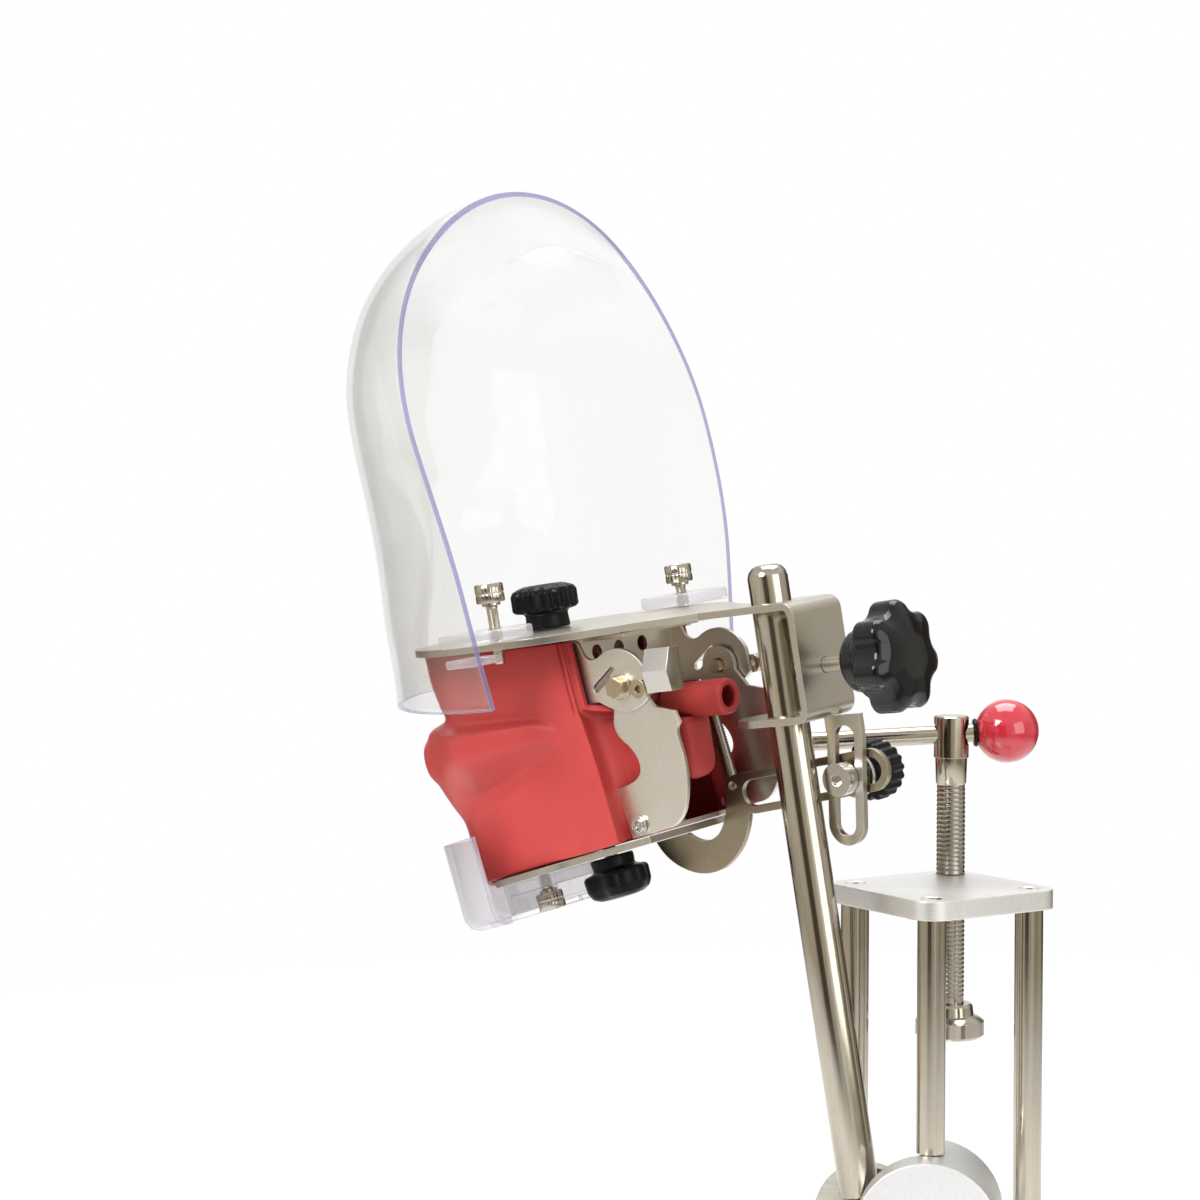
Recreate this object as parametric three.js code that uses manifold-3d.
// Bench-clamp dental phantom head: a jaw articulator in a red cheek bag, under a clear face
// mask, on a tilting pole that stands on a screw clamp for the edge of a bench.
// Millimetres, +Z up. The origin is the point of the bench seat under the clamp spindle;
// +X runs along the bench edge and +Y points in over the bench.
import * as THREE from 'three';
import { mergeVertices } from 'three/addons/utils/BufferGeometryUtils.js';
import Module from 'manifold-3d';

const wasm = await Module();
wasm.setup();

// ---- Driving dimensions -------------------------------------------------------------------

const GAP = 0.3; // running clearance between neighbouring pieces
const SHEET = 3; // thickness of the stainless sheet parts
const THIN_SHEET = 2; // thickness of the articulator's side plates

// Clamp
const CLAMP_PLATE = 72; // side of the square clamp plates
const CLAMP_PLATE_T = 8;
const CLAMP_CORNER_R = 10;
const CLAMP_TOP = 172; // height of the top plate's upper face
const SPINDLE_OFFSET = 36; // from the centre of the plates to the spindle
const COLUMN_R = 6;
const COLUMN_REACH = 36.8; // from the centre of the plates to each column
const SPINDLE_R = 6;
const FOOT_BOTTOM = 101;
const SEAT_LAND = 12; // half width of the raised land on the seat plate
const SEAT_RISE = 1; // of the land above the rest of the seat plate
const FOOT_R = 15;
const BOSS_R = 7.6;
const BOSS_BOTTOM = 223;
const BOSS_TOP = 241;
const BAR_R = 4;
const BAR_Z = 233;
const BAR_LEFT = 66; // reach of the tommy bar on the side away from the ball
const BAR_ANGLE = 11; // degrees from the bench edge
const BAR_TILT = 3.4; // degrees by which the ball end hangs high in its loose hole
const BAR_HOLE_R = 4.75;
const BALL_R = 13.8;
const BALL_CENTRE = 24;

// Tilting pole
const HUB = new THREE.Vector3(-27.9, -68, 33.1);
const HUB_R = 22.5;
const HUB_T = 9;
const PIVOT_END = 23; // far end of the pivot bolt, from the pole's axis
const HOUSING_R = 30;
const HOUSING_RISE = 3; // of the housing's axis above the hub's
const HOUSING_OFFSET = 27; // from the hub's axis to the housing's axis
const TILT_PLANE = 4; // degrees from the bench edge to the plane in which the pole tilts
const LEAN = 8.7; // degrees from upright
const POLE_R = 8.5;
const POLE_BOTTOM = 12.5;
const POLE_TOP = 279;

// Head bracket, in the head's frame: x forward, y to the head's left, z along the pole,
// origin on the pole's axis at the upper face of the bracket
const HEAD_HEIGHT = 263;
const HEADING = 149; // degrees from the tilt plane to the way the face looks
const DISC_R = 70; // rounded front of the bracket's plate
const DISC_X = 109; // centre of the plate's rounded front
const KNOB_X = 123; // axis of the upper dentoform screw
const STRAP_HALF = 17;
const WEB_X = -22.5; // outer face of the bent-down web
const WEB_BOTTOM = -50;
const TAB_FRONT = 22;
const CLAMP_SCREW_Z = -28;
const LINK_TOP = new THREE.Vector2(-19.5, -59.4);
const LINK_END = new THREE.Vector2(-14, -96);
const LINK_R = 8.8;
const LINK_SLOT_R = 4.8;
const LINK_Y = -10; // near face of the slotted link
const LOCK_X = -16.7;
const LOCK_Z = -76.5;
const SIDE_Y = 34; // inner face of the upper side plates
const LOWER_SIDE_Y = 31.5; // inner face of the lower side plates
const MASK_SCREW = new THREE.Vector2(97, 64);
const TAB_BLOCK_T = 8;

// Clear face mask: straight sides that widen upwards, then a half ellipse
const MASK_BOTTOM = -27;
const MASK_SHOULDER = 88;
const MASK_CROWN = 191;
const MASK_HALF = 99;
const MASK_T = 3;
const MASK_DEPTH_LOW = 108; // at the lower edge
const MASK_DEPTH_TOP = 66; // at the crown

// Hook and slotted strip, one sheet
const STRIP_Y = -16.5;
const STRIP_T = 2.5;
const STRIP_FRONT = new THREE.Vector2(35, -80.5);
const STRIP_END = new THREE.Vector2(-27, -74.5);
const STRIP_R = 9;
const STRIP_SLOT_R = 5.6;

// Cheek bag
const BAG_T = 2.6;
const BAG_HALF = 42;
const BAG_REAR = 87;
const BAG_FRONT = 182;
const BAG_ROUND = 126;
const BAG_CHIN_R = 59; // round the jaw plate's disc, inside the chin strip

// Dentoforms
const ARCH_HALF = 24;
const ARCH_DEPTH = 46;
const ARCH_BACK = 88;
const UPPER_GUM_TOP = -18;
const UPPER_GUM_EDGE = -38;
const LOWER_GUM_BASE = -48;
const LOWER_GUM_EDGE = -30.5;
const TOOTH = 6.5;
const TOOTH_GAP = 1.5; // from the gum's edge to the straight part of the teeth

// Jaw, in the jaw's frame: origin on the condyle axis, x along the lower plate
const CONDYLE = new THREE.Vector2(57, -26);
const JAW_OPEN = 10; // degrees the mouth stands open
const JAW_PLATE_TOP = -63;
const KEEPER_X = 23.6; // rear end of the spring keepers
const COLLAR = new THREE.Vector2(42.4, -27);
const JAW_KNOB_X = 62.5;
const JAW_DISC_X = 71;
const JAW_DISC_R = 46;
const JAW_SCREW = new THREE.Vector2(13.2, -57.4);
const CHIN_SCREW_X = 104;
const CHIN_R = 63.4; // outer radius of the chin strip's wall
const CHIN_T = 2.6;
const CHIN_FLOOR = -82;
const CHIN_WALL_TOP = -42;

const INK = {
  steel: 0xb9b4a8,
  polished: 0xa9a292,
  nickel: 0xb3aa98,
  brass: 0xc0ad83,
  bronze: 0x9c8e76,
  silver: 0xdedfdc,
  black: 0x141416,
  red: 0xe0585a,
  ball: 0xe23a50,
  clear: 0xe9e7ee,
  gum: 0xe58a92,
  tooth: 0xf2ead6,
};

// ---- Helpers ------------------------------------------------------------------------------

const rad = THREE.MathUtils.degToRad;
const { smoothstep } = THREE.MathUtils;
const v2 = (x, y) => new THREE.Vector2(x, y);

function signedVolume(vertices, triangles) {
  const a = new THREE.Vector3();
  const b = new THREE.Vector3();
  const c = new THREE.Vector3();
  let sum = 0;
  for (let i = 0; i < triangles.length; i += 3) {
    a.fromArray(vertices, 3 * triangles[i]);
    b.fromArray(vertices, 3 * triangles[i + 1]);
    c.fromArray(vertices, 3 * triangles[i + 2]);
    sum += a.dot(b.cross(c)) / 6;
  }
  return sum;
}

// A closed three.js geometry as a manifold solid, facing outwards.
function solid(geometry) {
  const bare = geometry.clone();
  bare.deleteAttribute('normal');
  bare.deleteAttribute('uv');
  const merged = mergeVertices(bare, 1e-4);
  const vertProperties = new Float32Array(merged.attributes.position.array);
  const kept = [];
  const index = merged.index.array;
  for (let i = 0; i < index.length; i += 3) {
    const [a, b, c] = [index[i], index[i + 1], index[i + 2]];
    if (a !== b && b !== c && c !== a) kept.push(a, b, c);
  }
  const triVerts = new Uint32Array(kept);
  if (signedVolume(vertProperties, triVerts) < 0) triVerts.reverse();
  return new wasm.Manifold(new wasm.Mesh({ numProp: 3, vertProperties, triVerts }));
}

function piece(name, body, colour, roughness, metalness) {
  const mesh = body.getMesh();
  const geometry = new THREE.BufferGeometry();
  geometry.setAttribute('position', new THREE.BufferAttribute(mesh.vertProperties.slice(), 3));
  geometry.setIndex(new THREE.BufferAttribute(mesh.triVerts.slice(), 1));
  geometry.computeVertexNormals();
  const material = new THREE.MeshStandardMaterial({ color: colour, roughness, metalness });
  const object = new THREE.Mesh(geometry, material);
  object.name = name;
  return object;
}

const silverPiece = (name, body) => piece(name, body, INK.silver, 0.45, 0.6);
const steelPiece = (name, body) => piece(name, body, INK.steel, 0.35, 1);
const nickelPiece = (name, body) => piece(name, body, INK.nickel, 0.4, 1);
const polishedPiece = (name, body) => piece(name, body, INK.polished, 0.18, 1);
const blackPiece = (name, body) => piece(name, body, INK.black, 0.35, 0);
const clearPiece = (name, body) => piece(name, body, INK.clear, 0.08, 0);

// A bar along Z from z0 to z1.
function barZ(radius, z0, z1, segments = 32, topRadius = radius) {
  const geometry = new THREE.CylinderGeometry(topRadius, radius, z1 - z0, segments);
  geometry.rotateX(Math.PI / 2);
  geometry.translate(0, 0, (z0 + z1) / 2);
  return solid(geometry);
}

// A bar along Y from y0 to y1 whose axis passes (x, z).
function barY(radius, y0, y1, x, z, segments = 28) {
  const geometry = new THREE.CylinderGeometry(radius, radius, y1 - y0, segments);
  geometry.translate(x, (y0 + y1) / 2, z);
  return solid(geometry);
}

// A bar along X from x0 to x1 whose axis passes (y, z).
function barX(radius, x0, x1, y, z, segments = 28) {
  const geometry = new THREE.CylinderGeometry(radius, radius, x1 - x0, segments);
  geometry.rotateZ(Math.PI / 2);
  geometry.translate((x0 + x1) / 2, y, z);
  return solid(geometry);
}

// A turned piece: the profile lists (radius, height) from axis to axis.
function turned(profile, segments = 32) {
  const geometry = new THREE.LatheGeometry(profile, segments);
  geometry.rotateX(Math.PI / 2);
  return solid(geometry);
}

function box(x0, x1, y0, y1, z0, z1) {
  const geometry = new THREE.BoxGeometry(x1 - x0, y1 - y0, z1 - z0);
  geometry.translate((x0 + x1) / 2, (y0 + y1) / 2, (z0 + z1) / 2);
  return solid(geometry);
}

// A flat plate: the plan shape from z0 to z1.
function plate(shape, z0, z1, curveSegments = 16) {
  const options = { depth: z1 - z0, bevelEnabled: false, curveSegments };
  const geometry = new THREE.ExtrudeGeometry(shape, options);
  geometry.translate(0, 0, z0);
  return solid(geometry);
}

// An upright plate: a shape drawn in (x, z), from y0 to y1.
function sidePlate(shape, y0, y1, curveSegments = 16) {
  const options = { depth: y1 - y0, bevelEnabled: false, curveSegments };
  const geometry = new THREE.ExtrudeGeometry(shape, options);
  geometry.rotateX(Math.PI / 2);
  geometry.translate(0, y1, 0);
  return solid(geometry);
}

function polygon(points) {
  return new THREE.Shape(points.map(([x, y]) => v2(x, y)));
}

// A strip with round ends of the given radius about two centres.
function slot(a, b, radius) {
  const along = Math.atan2(b.y - a.y, b.x - a.x);
  const shape = new THREE.Shape();
  shape.absarc(b.x, b.y, radius, along - Math.PI / 2, along + Math.PI / 2, false);
  shape.absarc(a.x, a.y, radius, along + Math.PI / 2, along + 1.5 * Math.PI, false);
  return shape;
}

function circle(x, y, radius) {
  const shape = new THREE.Shape();
  shape.absarc(x, y, radius, 0, 2 * Math.PI, false);
  return shape;
}

function roundedSquare(side, radius) {
  const h = side / 2;
  const c = h - radius;
  const shape = new THREE.Shape();
  shape.absarc(c, c, radius, 0, Math.PI / 2, false);
  shape.absarc(-c, c, radius, Math.PI / 2, Math.PI, false);
  shape.absarc(-c, -c, radius, Math.PI, 1.5 * Math.PI, false);
  shape.absarc(c, -c, radius, 1.5 * Math.PI, 2 * Math.PI, false);
  return shape;
}

// A round outline with raised lobes, such as a hand knob's.
function lobed(count, mean, wave) {
  const steps = count > 10 ? count * 4 : count * 8;
  const points = [];
  for (let i = 0; i < steps; i += 1) {
    const turn = (2 * Math.PI * i) / steps;
    const r = mean + wave * Math.cos(count * turn);
    points.push(v2(r * Math.cos(turn), r * Math.sin(turn)));
  }
  return new THREE.Shape(points);
}

function union(...bodies) {
  return bodies.reduce((sum, body) => sum.add(body));
}

function cut(body, ...tools) {
  return tools.reduce((rest, tool) => rest.subtract(tool), body);
}

function mirrored(body) {
  return body.mirror([0, 1, 0]);
}

function place(object, x, y, z) {
  object.position.set(x, y, z);
  return object;
}

// ---- Clamp --------------------------------------------------------------------------------

const columnAt = {
  near: v2(0, -SPINDLE_OFFSET - COLUMN_REACH),
  left: v2(-COLUMN_REACH, -SPINDLE_OFFSET),
  right: v2(COLUMN_REACH, -SPINDLE_OFFSET),
};

function clampPlate(z0, z1) {
  return plate(roundedSquare(CLAMP_PLATE, CLAMP_CORNER_R), z0, z1, 6)
    .rotate([0, 0, 45])
    .translate([0, -SPINDLE_OFFSET, 0]);
}

// A raised land between the columns, which the underside of the bench top rests on.
function benchSeatPlate() {
  const land = box(-SEAT_LAND, SEAT_LAND, -30, 2, -SEAT_RISE - 1, 0);
  return silverPiece('bench_seat_plate', union(clampPlate(-CLAMP_PLATE_T, -SEAT_RISE), land));
}

function clampTopPlate() {
  let body = clampPlate(CLAMP_TOP - CLAMP_PLATE_T, CLAMP_TOP);
  body = cut(body, barZ(SPINDLE_R + 0.4, CLAMP_TOP - 20, CLAMP_TOP + 10, 24));
  for (const { x, y } of Object.values(columnAt)) {
    const hole = barZ(2.4, CLAMP_TOP - 20, CLAMP_TOP + 10, 16);
    const sink = barZ(2.4, CLAMP_TOP - 3, CLAMP_TOP + 0.01, 16, 4.6);
    body = cut(body, union(hole, sink).translate([x, y, 0]));
  }
  return silverPiece('clamp_top_plate', body);
}

function columnScrew(name, { x, y }) {
  const bottom = CLAMP_TOP - CLAMP_PLATE_T + GAP;
  const top = CLAMP_TOP - 0.1;
  const body = turned([v2(0, bottom), v2(2.1, bottom), v2(2.1, top - 2.7), v2(4.2, top), v2(0, top)], 16);
  const socket = barZ(1.7, CLAMP_TOP - 1.6, CLAMP_TOP + 1, 6);
  return place(steelPiece(name, cut(body, socket)), x, y, 0);
}

function column(name, { x, y }, z0) {
  return place(polishedPiece(name, barZ(COLUMN_R, z0, CLAMP_TOP - CLAMP_PLATE_T)), x, y, 0);
}

function tiltHousing() {
  const front = -26;
  const slotFront = -10;
  const back = 20;
  const cheek = circle(HOUSING_OFFSET, HOUSING_RISE, HOUSING_R);
  let body = union(
    sidePlate(cheek, front, back, 24),
    sidePlate(slot(v2(0, 0), v2(HOUSING_OFFSET, HOUSING_RISE), 12), front, slotFront),
    box(HOUSING_OFFSET - 20, HOUSING_OFFSET + 20, front + 4, back, -HUB.z - SEAT_RISE + 0.05, -8));
  const poleSlot = box(-60, HUB_R + 1, slotFront, back + 1, -HUB.z - 1, 2 * HOUSING_R);
  const bolt = barY(4.3, front - 1, slotFront + 1, 0, 0);
  body = cut(body, poleSlot, bolt);
  return silverPiece('tilt_housing', body);
}

function pivotBolt() {
  const front = -26 - GAP;
  const body = union(barY(7, front - 7, front, 0, 0, 32), barY(4, front - 1, PIVOT_END, 0, 0));
  const socket = barY(3.4, front - 8, front - 3, 0, 0, 6);
  return steelPiece('tilt_pivot_bolt', cut(body, socket));
}

function pivotNut() {
  const hubBack = POLE_R + 0.8 + HUB_T;
  const body = cut(barY(6.5, hubBack + GAP, PIVOT_END, 0, 0, 6), barY(4.2, hubBack, PIVOT_END + 1, 0, 0));
  return steelPiece('tilt_pivot_nut', body);
}

function clampFoot() {
  const z = FOOT_BOTTOM;
  const bore = SPINDLE_R + GAP;
  const profile = [
    v2(0, z),
    v2(FOOT_R - 1, z),
    v2(FOOT_R, z + 1),
    v2(FOOT_R, z + 7),
    v2(FOOT_R - 2, z + 8.5),
    v2(10.5, z + 9.5),
    v2(10, z + 13.5),
    v2(9, z + 14.5),
    v2(bore, z + 14.5),
    v2(bore, z + 9),
    v2(0, z + 9),
  ];
  return steelPiece('clamp_foot', turned(profile, 28));
}

function clampSpindle() {
  const bottom = FOOT_BOTTOM + 9 + GAP;
  const profile = [
    v2(0, bottom),
    v2(SPINDLE_R - 1, bottom),
    v2(SPINDLE_R, bottom + 1),
    v2(SPINDLE_R, BOSS_BOTTOM - 12),
    v2(BOSS_R - 1, BOSS_BOTTOM - 11),
    v2(BOSS_R - 0.6, BOSS_BOTTOM),
    v2(BOSS_R, BOSS_BOTTOM),
    v2(BOSS_R, BOSS_TOP - 0.6),
    v2(BOSS_R - 0.6, BOSS_TOP),
    v2(0, BOSS_TOP),
  ];
  const body = cut(turned(profile, 24), barX(BAR_HOLE_R, -20, 20, 0, BAR_Z, 20));
  return polishedPiece('clamp_spindle', body);
}

// The tommy bar, its ball and its cap are drawn about the bar's own axis.
function tommyBar() {
  const body = barX(BAR_R, -BAR_LEFT, BALL_CENTRE - BALL_R + 4, 0, 0);
  return polishedPiece('tommy_bar', body);
}

function barBall() {
  const ball = new THREE.SphereGeometry(BALL_R, 18, 12);
  ball.translate(BALL_CENTRE, 0, 0);
  const seat = barX(BAR_R + 0.1, BALL_CENTRE - BALL_R - 5, BALL_CENTRE - BALL_R + 4.2, 0, 0, 20);
  return piece('bar_ball', cut(solid(ball), seat), INK.ball, 0.15, 0);
}

function barCap() {
  const cap = barX(BAR_R + 1, -BAR_LEFT - 3, -BAR_LEFT + 2, 0, 0, 20);
  const seat = barX(BAR_R + 0.1, -BAR_LEFT - 0.2, -BAR_LEFT + 3, 0, 0, 20);
  return blackPiece('bar_end_cap', cut(cap, seat));
}

// ---- Pole ---------------------------------------------------------------------------------

function tiltHub() {
  const discFront = POLE_R + 0.8;
  let body = union(
    barY(HUB_R, discFront, discFront + HUB_T, 0, 0, 48),
    barY(12, -POLE_R - 1, discFront + 1, 0, 0, 24));
  body = cut(body, barY(4.3, -30, 40, 0, 0, 20));
  return steelPiece('tilt_hub', body);
}

function pole() {
  const dome = POLE_TOP - 5;
  const profile = [
    v2(0, POLE_BOTTOM),
    v2(POLE_R - 1, POLE_BOTTOM),
    v2(POLE_R, POLE_BOTTOM + 1),
    v2(POLE_R, dome),
    v2(POLE_R - 0.6, dome + 2),
    v2(POLE_R - 2, dome + 3.8),
    v2(POLE_R - 4, dome + 4.8),
    v2(0, dome + 5),
  ];
  const driver = box(-20, 20, -2, 2, POLE_TOP - 5, POLE_TOP + 1);
  return polishedPiece('pole', cut(turned(profile, 32), driver));
}

// ---- Head bracket -------------------------------------------------------------------------

// Round front, tapering to the strap: the two straight edges touch the round tangentially.
function bracketPlan() {
  const strapX = 26;
  const reach = Math.hypot(DISC_X - strapX, STRAP_HALF);
  const sweep = Math.PI - Math.atan2(STRAP_HALF, DISC_X - strapX) - Math.acos(DISC_R / reach);
  const shape = new THREE.Shape();
  shape.moveTo(WEB_X + 6, -STRAP_HALF);
  shape.lineTo(strapX, -STRAP_HALF);
  shape.absarc(DISC_X, 0, DISC_R, -sweep, sweep, false);
  shape.lineTo(strapX, STRAP_HALF);
  shape.lineTo(WEB_X + 6, STRAP_HALF);
  return shape;
}

// The bend, the web and the lower tab in side view.
function bendProfile() {
  const outer = 6;
  const inner = outer - SHEET;
  const top = outer;
  const shape = new THREE.Shape();
  shape.moveTo(WEB_X + top + 1, 0);
  shape.lineTo(WEB_X + top, 0);
  shape.absarc(WEB_X + outer, -outer, outer, Math.PI / 2, Math.PI, false);
  shape.lineTo(WEB_X, WEB_BOTTOM + outer);
  shape.absarc(WEB_X + outer, WEB_BOTTOM + outer, outer, Math.PI, 1.5 * Math.PI, false);
  shape.lineTo(WEB_X + top + 1, WEB_BOTTOM);
  shape.lineTo(WEB_X + top + 1, WEB_BOTTOM + SHEET);
  shape.lineTo(WEB_X + outer, WEB_BOTTOM + SHEET);
  shape.absarc(WEB_X + outer, WEB_BOTTOM + outer, inner, 1.5 * Math.PI, Math.PI, true);
  shape.lineTo(WEB_X + SHEET, -outer);
  shape.absarc(WEB_X + outer, -outer, inner, Math.PI, Math.PI / 2, true);
  shape.lineTo(WEB_X + top + 1, -SHEET);
  return shape;
}

function tabPlan() {
  const shape = new THREE.Shape();
  shape.moveTo(WEB_X + 6, -STRAP_HALF);
  shape.absarc(TAB_FRONT - STRAP_HALF, 0, STRAP_HALF, -Math.PI / 2, Math.PI / 2, false);
  shape.lineTo(WEB_X + 6, STRAP_HALF);
  return shape;
}

function headBracket() {
  const poleHole = barZ(POLE_R + 0.25, -80, 20, 36);
  const screwHole = barX(3.4, WEB_X - 10, WEB_X + 10, 0, CLAMP_SCREW_Z, 16);
  const holes = [barZ(3.3, -10, 10, 16).translate([KNOB_X, 0, 0])];
  for (const side of [1, -1]) {
    holes.push(barZ(2.8, -10, 10, 12).translate([MASK_SCREW.x, side * MASK_SCREW.y, 0]));
  }
  const body = union(
    plate(bracketPlan(), -SHEET, 0, 32),
    sidePlate(bendProfile(), -STRAP_HALF, STRAP_HALF, 6),
    plate(tabPlan(), WEB_BOTTOM, WEB_BOTTOM + SHEET, 12));
  return steelPiece('head_bracket', cut(body, poleHole, screwHole, ...holes));
}

function slottedLink() {
  const outline = union(
    sidePlate(slot(LINK_TOP, LINK_END, LINK_R), LINK_Y - SHEET, LINK_Y),
    box(LINK_TOP.x - LINK_R, LINK_TOP.x + LINK_R, LINK_Y - SHEET, LINK_Y, LINK_TOP.y, WEB_BOTTOM - GAP));
  const opening = sidePlate(slot(LINK_TOP, LINK_END, LINK_SLOT_R), LINK_Y - SHEET - 1, LINK_Y + 1);
  return steelPiece('slotted_link', cut(outline, opening));
}

function clampScrew() {
  const tip = -POLE_R - 0.4;
  return steelPiece('bracket_clamp_screw', barX(3.1, -42, tip, 0, CLAMP_SCREW_Z, 20));
}

function starKnob() {
  const hub = -37;
  const back = -50;
  const rim = -63;
  const dome = -68;
  const lobes = plate(lobed(7, 21, 1.9), -back, -dome + 1, 8);
  const crown = [
    v2(0, -back - 1),
    v2(24, -back - 1),
    v2(24, -rim),
    v2(19, -rim + 3.4),
    v2(11, -rim + 4.8),
    v2(0, -dome),
  ];
  const steps = [
    v2(0, -hub),
    v2(11, -hub),
    v2(13, -hub + 3),
    v2(13, -hub + 8),
    v2(17, -hub + 9),
    v2(17, -back + 1),
    v2(0, -back + 1),
  ];
  const envelope = turned(crown, 28);
  const neck = turned(steps, 24);
  const socket = barZ(3.3, -hub - 1, -hub + 6, 20);
  const upright = cut(union(lobes.intersect(envelope), neck), socket);
  const body = upright.rotate([0, -90, 0]).translate([0, 0, CLAMP_SCREW_Z]);
  return blackPiece('star_knob', body);
}

// ---- Mask ---------------------------------------------------------------------------------

// How far the plain dome stands out from its rim at a height, one even taper.
function maskDepth(z) {
  const up = (z - MASK_BOTTOM) / (MASK_CROWN - MASK_BOTTOM);
  return MASK_DEPTH_LOW + (MASK_DEPTH_TOP - MASK_DEPTH_LOW) * up;
}

// A point of the mask's outer surface. across runs -1..1 from side to side, up runs 0..1.
function maskPoint(across, up) {
  const shoulder = 0.55;
  const turn = (Math.PI / 2) * across;
  const spread = Math.sin(turn);
  const rise = Math.max(0, (up - shoulder) / (1 - shoulder));
  const low = Math.min(1, up / shoulder);
  const width = MASK_HALF - 15 * (1 - low) ** 1.5;
  const y = width * spread * Math.sqrt(1 - 0.5 * rise * rise);
  const arch = rise * Math.sqrt(1 - 0.5 * spread * spread);
  const bottom = MASK_BOTTOM + 6 * (1 - spread ** 2);
  const z = bottom + low * (MASK_SHOULDER - bottom) + arch * (MASK_CROWN - MASK_SHOULDER);
  const fromRim = Math.sqrt(Math.max(0, (1 - spread ** 2) * (1 - rise ** 3)));
  const rim = 88 + 17 * smoothstep(z, 20, 165);
  return new THREE.Vector3(rim + maskDepth(z) * fromRim, y, z);
}

function maskShell() {
  const geometry = new THREE.BoxGeometry(2, 1, 1, 16, 13, 1);
  const position = geometry.attributes.position;
  const step = 0.004;
  for (let i = 0; i < position.count; i += 1) {
    const across = position.getX(i);
    const up = position.getY(i) + 0.5;
    const inner = position.getZ(i) < 0;
    const point = maskPoint(across, up);
    // The normal is taken a little inside the rim, where the surface is still smooth.
    const a = THREE.MathUtils.clamp(across, -0.97, 0.97);
    const u = THREE.MathUtils.clamp(up, step, 0.97);
    const sideways = maskPoint(a + step, u).sub(maskPoint(a - step, u));
    const upwards = maskPoint(a, u + step).sub(maskPoint(a, u - step));
    const normal = sideways.cross(upwards).normalize();
    if (inner) point.addScaledVector(normal, -MASK_T);
    position.setXYZ(i, point.x, point.y, point.z);
  }
  return solid(geometry);
}

function faceMask() {
  let body = maskShell();
  const wall = MASK_HALF - 14;
  for (const side of [1, -1]) {
    let block = box(MASK_SCREW.x - 11, MASK_SCREW.x + 15, MASK_SCREW.y - 12, wall, GAP, TAB_BLOCK_T);
    const lip = box(MASK_SCREW.x - 4, MASK_SCREW.x + 10, DISC_R - 4, wall, -6, TAB_BLOCK_T);
    block = cut(union(block, lip), barZ(2.9, -10, 20, 16).translate([MASK_SCREW.x, MASK_SCREW.y, 0]));
    const seat = barZ(DISC_R + GAP, -SHEET - GAP, GAP, 64).translate([DISC_X, 0, 0]);
    block = cut(block, seat);
    body = body.add(side > 0 ? block : mirrored(block));
  }
  return clearPiece('face_mask', body);
}

// A thumbscrew standing on z = 0 with the underside of its head at the given height.
function thumbScrew(under) {
  const profile = [
    v2(0, -9),
    v2(2.2, -9),
    v2(2.5, -8.5),
    v2(2.5, under - 1),
    v2(4, under - 0.8),
    v2(5.9, under),
    v2(6.1, under + 1),
    v2(6.1, under + 7),
    v2(5.5, under + 8),
    v2(0, under + 8),
  ];
  return turned(profile, 16);
}

function maskScrew(name, side, under) {
  return place(steelPiece(name, thumbScrew(under)), MASK_SCREW.x, side * MASK_SCREW.y, 0);
}

function chinScrew() {
  const body = thumbScrew(8).rotate([180, 0, 0]);
  return place(steelPiece('chin_screw', body), CHIN_SCREW_X, 0, JAW_PLATE_TOP - SHEET);
}

// ---- Dentoform screws ---------------------------------------------------------------------

// A hand knob standing on z = 0: a neck up to z0, then the lobed grip.
function lobedKnob(count, radius, wave, z0, height) {
  const top = z0 + height;
  const neck = turned([v2(0, GAP), v2(9.5, GAP), v2(9.5, z0), v2(11, z0 + 1), v2(0, z0 + 1)], 20);
  const lobes = plate(lobed(count, radius, wave), z0, top, 8);
  const crown = [
    v2(0, z0 - 1),
    v2(radius + 2, z0 - 1),
    v2(radius + 2, top - 4),
    v2(radius - 2, top - 1),
    v2(radius - 6, top),
    v2(0, top),
  ];
  const socket = barZ(3.3, -1, 6, 16);
  return cut(union(lobes.intersect(turned(crown, 20)), neck), socket);
}

function upperKnob() {
  return place(blackPiece('upper_knob', lobedKnob(14, 14, 0.6, 8, 12)), KNOB_X, 0, 0);
}

function upperKnobScrew() {
  return place(steelPiece('upper_knob_screw', barZ(3, -16, 5.6, 20)), KNOB_X, 0, 0);
}

function lowerKnob() {
  const body = lobedKnob(6, 13.4, 1.3, 6, 13).rotate([180, 0, 0]);
  return place(blackPiece('lower_knob', body), JAW_KNOB_X, 0, JAW_PLATE_TOP - SHEET);
}

function lowerKnobScrew() {
  const base = JAW_PLATE_TOP - SHEET;
  return place(steelPiece('lower_knob_screw', barZ(3, base - 5.6, base + 16, 20)), JAW_KNOB_X, 0, 0);
}

// ---- Dentoforms ---------------------------------------------------------------------------

// A dental arch: a parabola from the back teeth round the front.
function archPoint(t, inset) {
  const half = ARCH_HALF - inset;
  const depth = ARCH_DEPTH - inset;
  return v2(ARCH_BACK + depth * (1 - t * t), half * Math.sign(t) * Math.abs(t) ** 0.75);
}

function archShape(inner, outer) {
  const steps = 14;
  const points = [];
  for (let i = 0; i <= steps; i += 1) points.push(archPoint((2 * i) / steps - 1, inner));
  for (let i = steps; i >= 0; i -= 1) points.push(archPoint((2 * i) / steps - 1, outer));
  return new THREE.Shape(points);
}

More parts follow.
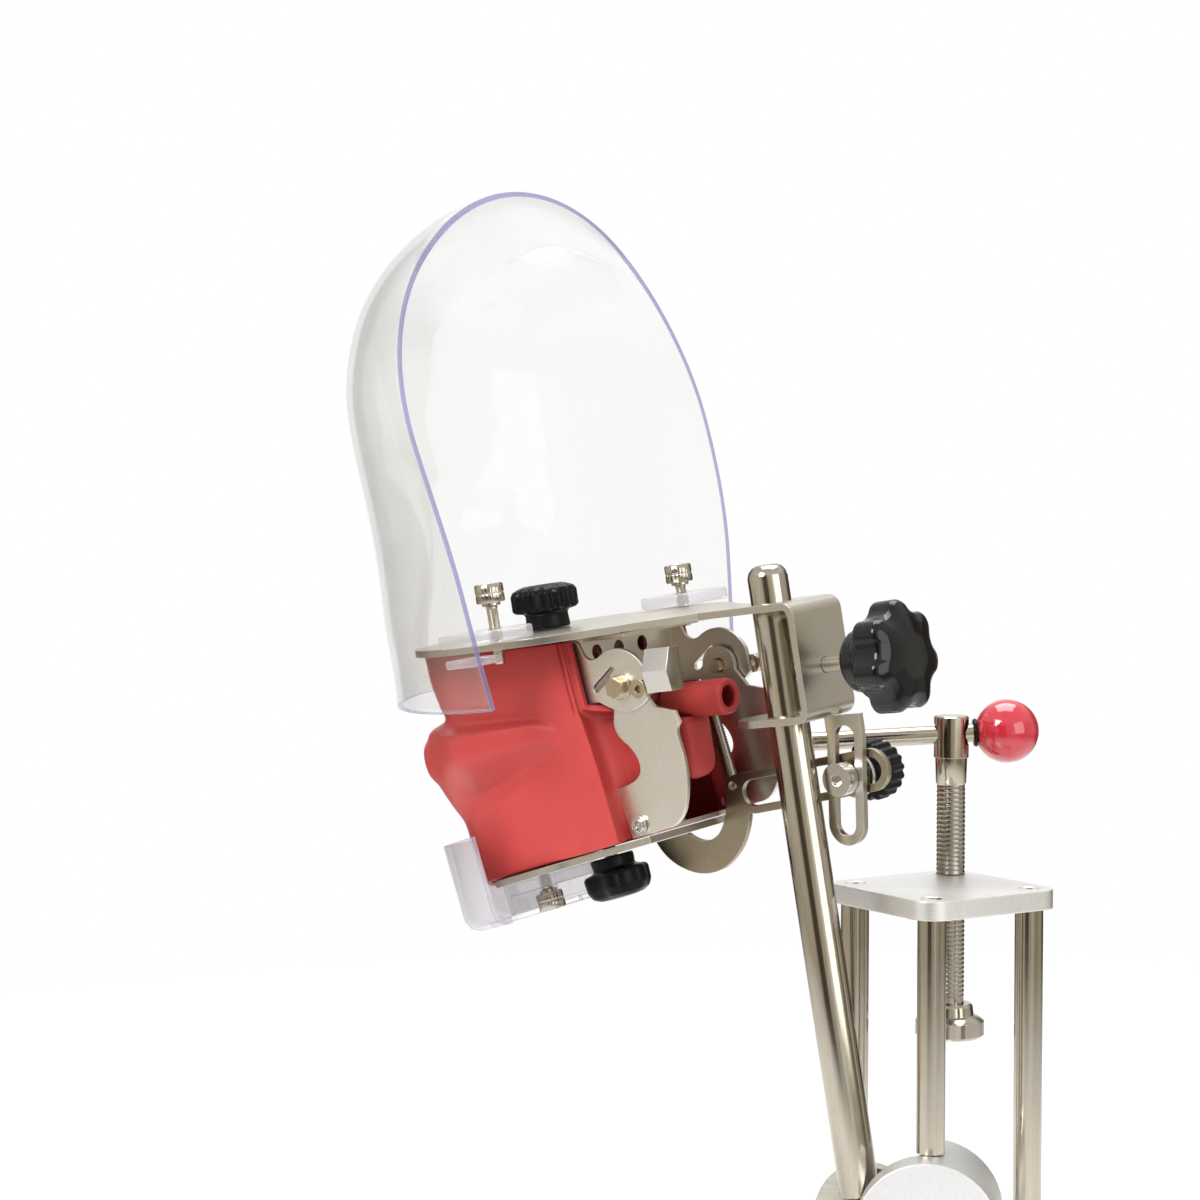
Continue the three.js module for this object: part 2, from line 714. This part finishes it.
function gumBase(zPlate, zEdge) {
  const ridge = plate(archShape(8.5, -4), Math.min(zPlate, zEdge), Math.max(zPlate, zEdge));
  const base = new THREE.Shape();
  const steps = 18;
  for (let i = 0; i <= steps; i += 1) {
    const p = archPoint((2 * i) / steps - 1, -4);
    if (i === 0) base.moveTo(p.x, p.y);
    else base.lineTo(p.x, p.y);
  }
  const slabTop = zPlate + Math.sign(zEdge - zPlate) * 14;
  const slab = plate(base, Math.min(zPlate, slabTop), Math.max(zPlate, slabTop));
  return union(ridge, slab);
}

function teethRow(z0, z1) {
  const count = 14;
  const bodies = [];
  for (let i = 0; i < count; i += 1) {
    const t = ((i + 0.5) / count) * 1.9 - 0.95;
    const at = archPoint(t, 2.6);
    const front = 1 - Math.abs(t);
    const tooth = new THREE.BoxGeometry(7.4 - 2.4 * front, 7.4 - 0.8 * front, z1 - z0 + 1);
    const ahead = archPoint(t + 0.02, 2.6);
    tooth.rotateZ(Math.atan2(ahead.y - at.y, ahead.x - at.x) + Math.PI / 2);
    tooth.translate(at.x, at.y, (z0 + z1) / 2);
    bodies.push(solid(tooth));
  }
  const root = plate(archShape(4.6, 0.6), z0, z1);
  return bodies.reduce((sum, body) => sum.add(body), root);
}

function upperGum() {
  const block = box(90, 132, -19, 19, UPPER_GUM_TOP - 1, -SHEET - 1.3);
  const body = union(gumBase(UPPER_GUM_TOP, UPPER_GUM_EDGE), block);
  const bore = barZ(3.3, -17, 0, 20).translate([KNOB_X, 0, 0]);
  return piece('upper_gum', cut(body, bore), INK.gum, 0.5, 0);
}

function upperTeeth() {
  const z1 = UPPER_GUM_EDGE - TOOTH_GAP;
  return piece('upper_teeth', teethRow(z1 - TOOTH, z1), INK.tooth, 0.25, 0);
}

// The lower arch is drawn in the jaw's frame, so that it meets the upper arch when closed.
const jawShift = -CONDYLE.x - 1.5;

function lowerGum() {
  const block = box(90, 132, -19, 19, JAW_PLATE_TOP + 1.3, LOWER_GUM_BASE + 1).translate([jawShift, 0, 0]);
  const body = union(gumBase(LOWER_GUM_BASE, LOWER_GUM_EDGE).translate([jawShift, 0, 0]), block);
  const bore = barZ(3.3, JAW_PLATE_TOP - 1, JAW_PLATE_TOP + 14, 20).translate([JAW_KNOB_X, 0, 0]);
  return piece('lower_gum', cut(body, bore), INK.gum, 0.5, 0);
}

function lowerTeeth() {
  const z0 = LOWER_GUM_EDGE + TOOTH_GAP;
  const row = teethRow(z0, z0 + TOOTH).translate([jawShift, 0, 0]);
  return piece('lower_teeth', row, INK.tooth, 0.25, 0);
}

// ---- Articulator frame --------------------------------------------------------------------

function upperSideShape() {
  const shape = new THREE.Shape();
  shape.moveTo(85, -31.5);
  shape.lineTo(85, -6);
  shape.quadraticCurveTo(84.5, -4.2, 82, -4.2);
  shape.quadraticCurveTo(77.5, -4.2, 76.5, -8);
  shape.quadraticCurveTo(74.5, -15, 68, -13);
  shape.quadraticCurveTo(60, -8, 53, -10.5);
  shape.quadraticCurveTo(46, -13, 43, -20);
  shape.lineTo(42, -30);
  shape.quadraticCurveTo(50, -38, 60, -36);
  shape.quadraticCurveTo(66, -34, 70, -31.5);
  const guide = new THREE.Path();
  const a = v2(70.5, -25.5);
  const b = v2(61, -19);
  const along = Math.atan2(b.y - a.y, b.x - a.x);
  guide.absarc(b.x, b.y, 1.8, along - Math.PI / 2, along + Math.PI / 2, false);
  guide.absarc(a.x, a.y, 1.8, along + Math.PI / 2, along + 1.5 * Math.PI, false);
  shape.holes.push(guide);
  const bolt = new THREE.Path();
  bolt.absarc(CONDYLE.x, CONDYLE.y, 3.3, 0, 2 * Math.PI, false);
  shape.holes.push(bolt);
  return shape;
}

function upperFrame() {
  const cheek = sidePlate(upperSideShape(), SIDE_Y, SIDE_Y + THIN_SHEET, 6);
  const cross = box(83, 85, -SIDE_Y - THIN_SHEET, SIDE_Y + THIN_SHEET, -31.5, -SHEET - 1);
  const shelf = box(60, 85, -SIDE_Y + 8, SIDE_Y - 8, -SHEET - 1 - THIN_SHEET, -SHEET - 1);
  const holes = [17, 2, -14].map((y) => barX(3.4, 80, 90, y, -11.5, 14));
  const body = cut(union(cheek, mirrored(cheek), cross, shelf), ...holes);
  return nickelPiece('upper_frame', body);
}

function lowerSideShape() {
  const shape = new THREE.Shape();
  shape.moveTo(19.2, -62);
  shape.lineTo(20.3, -40.1);
  shape.quadraticCurveTo(7.5, -40.5, 5, -36);
  shape.quadraticCurveTo(2.5, -31, 7.3, -24.1);
  shape.quadraticCurveTo(13, -18, 11.5, -13.2);
  shape.lineTo(7.8, -4);
  shape.absarc(0, 0, 8.8, -0.45, Math.PI + 0.45, false);
  shape.lineTo(-12, -12);
  shape.lineTo(-21.5, -16);
  shape.lineTo(-22.6, -21.3);
  shape.quadraticCurveTo(-19, -23, -19.6, -30);
  shape.quadraticCurveTo(-20.5, -44, -13, -55.8);
  shape.quadraticCurveTo(-8, -62, -2, -62);
  const bolt = new THREE.Path();
  bolt.absarc(0, 0, 3.3, 0, 2 * Math.PI, false);
  shape.holes.push(bolt);
  const screw = new THREE.Path();
  screw.absarc(JAW_SCREW.x, JAW_SCREW.y, 2.2, 0, 2 * Math.PI, false);
  shape.holes.push(screw);
  return shape;
}

function lowerSidePlate(name, side) {
  const body = sidePlate(lowerSideShape(), LOWER_SIDE_Y, LOWER_SIDE_Y + THIN_SHEET, 6);
  return nickelPiece(name, side > 0 ? body : mirrored(body));
}

function lowerCrossBracket() {
  const half = LOWER_SIDE_Y - GAP;
  const base = box(8, 20, -half, half, JAW_PLATE_TOP + GAP, JAW_PLATE_TOP + GAP + THIN_SHEET);
  const ear = box(8, 18, half - THIN_SHEET, half, JAW_PLATE_TOP + GAP, JAW_PLATE_TOP + 11);
  const hole = barY(2.2, -40, 40, JAW_SCREW.x, JAW_SCREW.y, 16);
  return nickelPiece('lower_cross_bracket', cut(union(base, ear, mirrored(ear)), hole));
}

function jawScrew(name, side) {
  const y0 = LOWER_SIDE_Y - 6;
  const head = LOWER_SIDE_Y + THIN_SHEET + GAP;
  let body = union(
    barY(2, y0, head + 1, JAW_SCREW.x, JAW_SCREW.y, 12),
    barY(4, head, head + 1.6, JAW_SCREW.x, JAW_SCREW.y, 20),
    barY(3, head + 1.5, head + 2.4, JAW_SCREW.x, JAW_SCREW.y, 20));
  const cross = union(
    box(JAW_SCREW.x - 2.2, JAW_SCREW.x + 2.2, head + 1.2, head + 4, JAW_SCREW.y - 0.5, JAW_SCREW.y + 0.5),
    box(JAW_SCREW.x - 0.5, JAW_SCREW.x + 0.5, head + 1.2, head + 4, JAW_SCREW.y - 2.2, JAW_SCREW.y + 2.2));
  body = cut(body, cross);
  return steelPiece(name, side > 0 ? body : mirrored(body));
}

function condyleBolt(name, side) {
  const head = SIDE_Y + THIN_SHEET + GAP;
  const body = union(
    barY(3, LOWER_SIDE_Y - 3, head + 1, CONDYLE.x, CONDYLE.y, 24),
    barY(5.4, head, head + 1.6, CONDYLE.x, CONDYLE.y, 28),
    barY(4.6, head + 1.5, head + 5, CONDYLE.x, CONDYLE.y, 6));
  return piece(name, side > 0 ? body : mirrored(body), INK.brass, 0.35, 1);
}

// The folded spring keeper on the outside of each upper cheek.
function springKeeper(name, side) {
  const y0 = SIDE_Y + THIN_SHEET + GAP;
  const fold = polygon([[y0, -29], [y0 + 8, -29], [y0 + 10, -20], [y0 + 6, -11], [y0, -11]]);
  const geometry = new THREE.ExtrudeGeometry(fold, { depth: 13, bevelEnabled: false });
  geometry.rotateX(Math.PI / 2);
  geometry.rotateZ(Math.PI / 2);
  let body = solid(geometry);
  const box0 = body.boundingBox();
  body = body.translate([KEEPER_X - box0.min[0], 0, 0]);
  body = cut(body, box(KEEPER_X + 3, KEEPER_X + 19, y0 + 2, y0 + 6.5, -40, -14));
  return nickelPiece(name, side > 0 ? body : mirrored(body));
}

function collar(name, side) {
  const y0 = SIDE_Y + THIN_SHEET + GAP;
  const ring = barY(4, y0, y0 + 7, COLLAR.x, COLLAR.y, 24);
  const body = cut(ring, barY(1.7, y0 - 1, y0 + 8, COLLAR.x, COLLAR.y, 16));
  return piece(name, side > 0 ? body : mirrored(body), INK.brass, 0.35, 1);
}

// ---- Jaw ----------------------------------------------------------------------------------

function jawPlatePlan() {
  const shape = new THREE.Shape();
  const rearX = 10;
  const rearHalf = 34;
  shape.moveTo(rearX, -rearHalf);
  shape.lineTo(26, -38);
  shape.absarc(JAW_DISC_X, 0, JAW_DISC_R, -2.05, 2.05, false);
  shape.lineTo(26, 38);
  shape.lineTo(rearX, rearHalf);
  const screw = new THREE.Path();
  screw.absarc(JAW_KNOB_X, 0, 3.3, 0, 2 * Math.PI, false);
  shape.holes.push(screw);
  const chin = new THREE.Path();
  chin.absarc(CHIN_SCREW_X, 0, 2.8, 0, 2 * Math.PI, false);
  shape.holes.push(chin);
  return shape;
}

function jawPlate() {
  return steelPiece('jaw_plate', plate(jawPlatePlan(), JAW_PLATE_TOP - SHEET, JAW_PLATE_TOP, 18));
}

// Outline of the hook, drawn in the head's frame.
function hookShape() {
  const shape = new THREE.Shape();
  shape.moveTo(74, -96.2);
  shape.lineTo(92, -99.4);
  shape.quadraticCurveTo(88, -107, 80, -111);
  shape.quadraticCurveTo(68, -117, 56, -112);
  shape.quadraticCurveTo(43, -105, 39, -91);
  shape.lineTo(36, -72);
  shape.quadraticCurveTo(44, -70.5, 49, -75);
  shape.quadraticCurveTo(50, -91, 57, -97.5);
  shape.quadraticCurveTo(65, -103, 74, -96.2);
  return shape;
}

function hookPlate() {
  const y0 = STRIP_Y;
  const body = union(
    sidePlate(hookShape(), y0, y0 + STRIP_T, 8),
    sidePlate(slot(STRIP_FRONT, STRIP_END, STRIP_R), y0, y0 + STRIP_T));
  const opening = sidePlate(slot(STRIP_FRONT, STRIP_END, STRIP_SLOT_R), y0 - 1, y0 + STRIP_T + 1);
  const hole = barY(2, y0 - 1, y0 + STRIP_T + 1, 45.5, -77, 16);
  return piece('hook_plate', cut(body, opening, hole), INK.bronze, 0.35, 1);
}

// A clear channel: a tab under the jaw plate, a riser, and a dish whose floor turns up into
// a curved wall round the chin.
function chinStrip() {
  const floorHalf = 30;
  const rearX = 112;
  const frontX = JAW_DISC_X + CHIN_R + 1;
  const tabTop = JAW_PLATE_TOP - SHEET - GAP;
  const inner = CHIN_R - CHIN_T;
  const profile = [
    v2(0, CHIN_FLOOR),
    v2(CHIN_R - 6, CHIN_FLOOR),
    v2(CHIN_R - 2, CHIN_FLOOR + 2),
    v2(CHIN_R, CHIN_FLOOR + 6),
    v2(CHIN_R, CHIN_WALL_TOP),
    v2(inner, CHIN_WALL_TOP),
    v2(inner, CHIN_FLOOR + 6.6),
    v2(inner - 1.6, CHIN_FLOOR + 3.8),
    v2(inner - 4.4, CHIN_FLOOR + CHIN_T),
    v2(0, CHIN_FLOOR + CHIN_T),
  ];
  const dish = turned(profile, 48).translate([JAW_DISC_X, 0, 0]);
  const core = barZ(inner - 8, CHIN_FLOOR - 1, CHIN_WALL_TOP, 40).translate([JAW_DISC_X, 0, 0]);
  const wallSpace = box(JAW_DISC_X + 11, frontX, -45, CHIN_R, CHIN_FLOOR - 1, CHIN_WALL_TOP + 1);
  const floorSpace = box(rearX, frontX, -floorHalf, floorHalf, CHIN_FLOOR - 1, CHIN_WALL_TOP + 1);
  const wall = cut(dish.intersect(wallSpace), core);
  const floor = dish.intersect(floorSpace);
  const riser = box(rearX, rearX + CHIN_T, -16, 16, CHIN_FLOOR, tabTop);
  const tab = box(84, rearX + CHIN_T, -16, 16, tabTop - 5, tabTop);
  const hole = barZ(2.9, CHIN_FLOOR - 5, tabTop + 5, 16).translate([CHIN_SCREW_X, 0, 0]);
  return clearPiece('chin_strip', cut(union(wall, floor, riser, tab), hole));
}

function springRod(name, y) {
  const base = JAW_PLATE_TOP + GAP + THIN_SHEET + GAP;
  const socket = [
    v2(0, base),
    v2(4, base),
    v2(4.2, base + 4),
    v2(3, base + 6.5),
    v2(0, base + 7),
  ];
  const body = union(barZ(2.1, base, base + 50, 16), turned(socket, 20));
  return place(polishedPiece(name, body), 3, y, 0);
}

// ---- Jaw lock -----------------------------------------------------------------------------

function lockBolt() {
  const near = LINK_Y + GAP;
  const far = STRIP_Y - 21;
  const body = union(
    barY(2.9, far, near + 1, LOCK_X, LOCK_Z, 20),
    barY(7, near, near + 6, LOCK_X, LOCK_Z, 32));
  const socket = barY(2.8, near + 2.5, near + 8, LOCK_X, LOCK_Z, 6);
  return polishedPiece('lock_bolt', cut(body, socket));
}

function lockWasher() {
  const y1 = STRIP_Y - GAP;
  const disc = barY(9.5, y1 - 1.8, y1, LOCK_X, LOCK_Z, 28);
  const body = cut(disc, barY(3.2, y1 - 3, y1 + 1, LOCK_X, LOCK_Z, 16));
  return steelPiece('lock_washer', body);
}

function lockKnob() {
  const start = -STRIP_Y + GAP * 2 + 1.8;
  const grip = start + 7;
  const end = start + 20;
  const neck = turned([v2(0, start), v2(7, start), v2(8, grip + 1), v2(0, grip + 1)], 20);
  const knurl = plate(lobed(16, 12.2, 0.45), grip, end, 8);
  const crown = [
    v2(0, grip - 1),
    v2(10.5, grip),
    v2(13, grip + 2.5),
    v2(13, end - 3),
    v2(10, end),
    v2(0, end),
  ];
  const upright = cut(union(neck, knurl.intersect(turned(crown, 20))), barZ(3.2, start - 1, end + 1, 16));
  return blackPiece('lock_knob', upright.rotate([90, 0, 0]).translate([LOCK_X, 0, LOCK_Z]));
}

// ---- Cheek bag ----------------------------------------------------------------------------

function bagWall(inset) {
  const half = BAG_HALF - inset;
  const shape = new THREE.Shape();
  shape.moveTo(BAG_REAR - 1, -half);
  shape.lineTo(BAG_ROUND, -half);
  const reach = BAG_FRONT - BAG_ROUND - inset;
  shape.absellipse(BAG_ROUND, 0, reach, half, -Math.PI / 2, Math.PI / 2, false);
  shape.lineTo(BAG_REAR - 1, half);
  return shape;
}

function cheekBag() {
  const top = -SHEET - 1;
  const outer = plate(bagWall(0), -140, top, 12);
  const inner = plate(bagWall(BAG_T), -141, top + 1, 12).translate([-0.01, 0, 0]);
  const trim = box(40, BAG_REAR, -60, 60, -141, top + 1);
  const below = box(-80, 160, -70, 70, JAW_PLATE_TOP - 90, JAW_PLATE_TOP + 1)
    .rotate([0, JAW_OPEN, 0]).translate([CONDYLE.x, 0, CONDYLE.y]);
  const chin = cut(box(90, 160, -70, 70, JAW_PLATE_TOP - 1, -36), barZ(BAG_CHIN_R, -90, -30, 40)
    .translate([JAW_DISC_X, 0, 0])).rotate([0, JAW_OPEN, 0]).translate([CONDYLE.x, 0, CONDYLE.y]);
  const mouth = barX(20, 150, 200, 0, -62, 24).scale([1, 1, 0.8]).translate([0, 0, -13]);
  return piece('cheek_bag', cut(outer, inner, trim, below, chin, mouth), INK.red, 0.45, 0);
}

function drainTube() {
  const body = cut(barX(7.8, 29, 61, 0, -37), barX(4, 28, 62, 0, -37));
  return piece('drain_tube', body, INK.red, 0.45, 0);
}

function throatPiece() {
  const body = box(46, 60, -9, 9, -70, -45.2);
  return piece('throat_piece', body, INK.red, 0.45, 0);
}

// ---- Assembly -----------------------------------------------------------------------------

const part = new THREE.Group();
part.add(
  clampTopPlate(),
  benchSeatPlate(),
  column('column_near', columnAt.near, HUB.z + HOUSING_RISE + HOUSING_R + GAP),
  column('column_left', columnAt.left, -SEAT_RISE),
  column('column_right', columnAt.right, -SEAT_RISE),
  columnScrew('column_screw_near', columnAt.near),
  columnScrew('column_screw_left', columnAt.left),
  columnScrew('column_screw_right', columnAt.right),
  clampFoot(),
);

const spindle = new THREE.Group();
spindle.rotation.z = rad(BAR_ANGLE);
spindle.add(clampSpindle());
part.add(spindle);

const bar = new THREE.Group();
bar.position.z = BAR_Z;
bar.rotation.y = -rad(BAR_TILT);
bar.add(tommyBar(), barBall(), barCap());
spindle.add(bar);

const tiltBase = new THREE.Group();
tiltBase.position.copy(HUB);
tiltBase.rotation.z = rad(TILT_PLANE);
tiltBase.add(tiltHousing(), pivotBolt(), pivotNut());
part.add(tiltBase);

const tilting = new THREE.Group();
tilting.rotation.y = -rad(LEAN);
tilting.add(tiltHub(), pole());
tiltBase.add(tilting);

const head = new THREE.Group();
head.position.z = HEAD_HEIGHT;
head.rotation.z = rad(HEADING);
tilting.add(head);
head.add(
  headBracket(),
  slottedLink(),
  clampScrew(),
  starKnob(),
  faceMask(),
  maskScrew('mask_screw_near', 1, 17),
  maskScrew('mask_screw_far', -1, 11),
  upperKnob(),
  upperKnobScrew(),
  upperFrame(),
  condyleBolt('condyle_bolt_near', 1),
  condyleBolt('condyle_bolt_far', -1),
  springKeeper('spring_keeper_near', 1),
  springKeeper('spring_keeper_far', -1),
  collar('keeper_collar_near', 1),
  collar('keeper_collar_far', -1),
  upperGum(),
  upperTeeth(),
  cheekBag(),
  drainTube(),
  throatPiece(),
  lockBolt(),
  lockWasher(),
  lockKnob(),
  hookPlate(),
);

const jaw = new THREE.Group();
jaw.position.set(CONDYLE.x, 0, CONDYLE.y);
jaw.rotation.y = rad(JAW_OPEN);
head.add(jaw);
jaw.add(
  jawPlate(),
  lowerSidePlate('lower_side_plate_near', 1),
  lowerSidePlate('lower_side_plate_far', -1),
  lowerCrossBracket(),
  jawScrew('jaw_screw_near', 1),
  jawScrew('jaw_screw_far', -1),
  chinStrip(),
  chinScrew(),
  springRod('spring_rod_near', 22),
  springRod('spring_rod_far', -22),
  lowerKnob(),
  lowerKnobScrew(),
  lowerGum(),
  lowerTeeth(),
);

export default part;
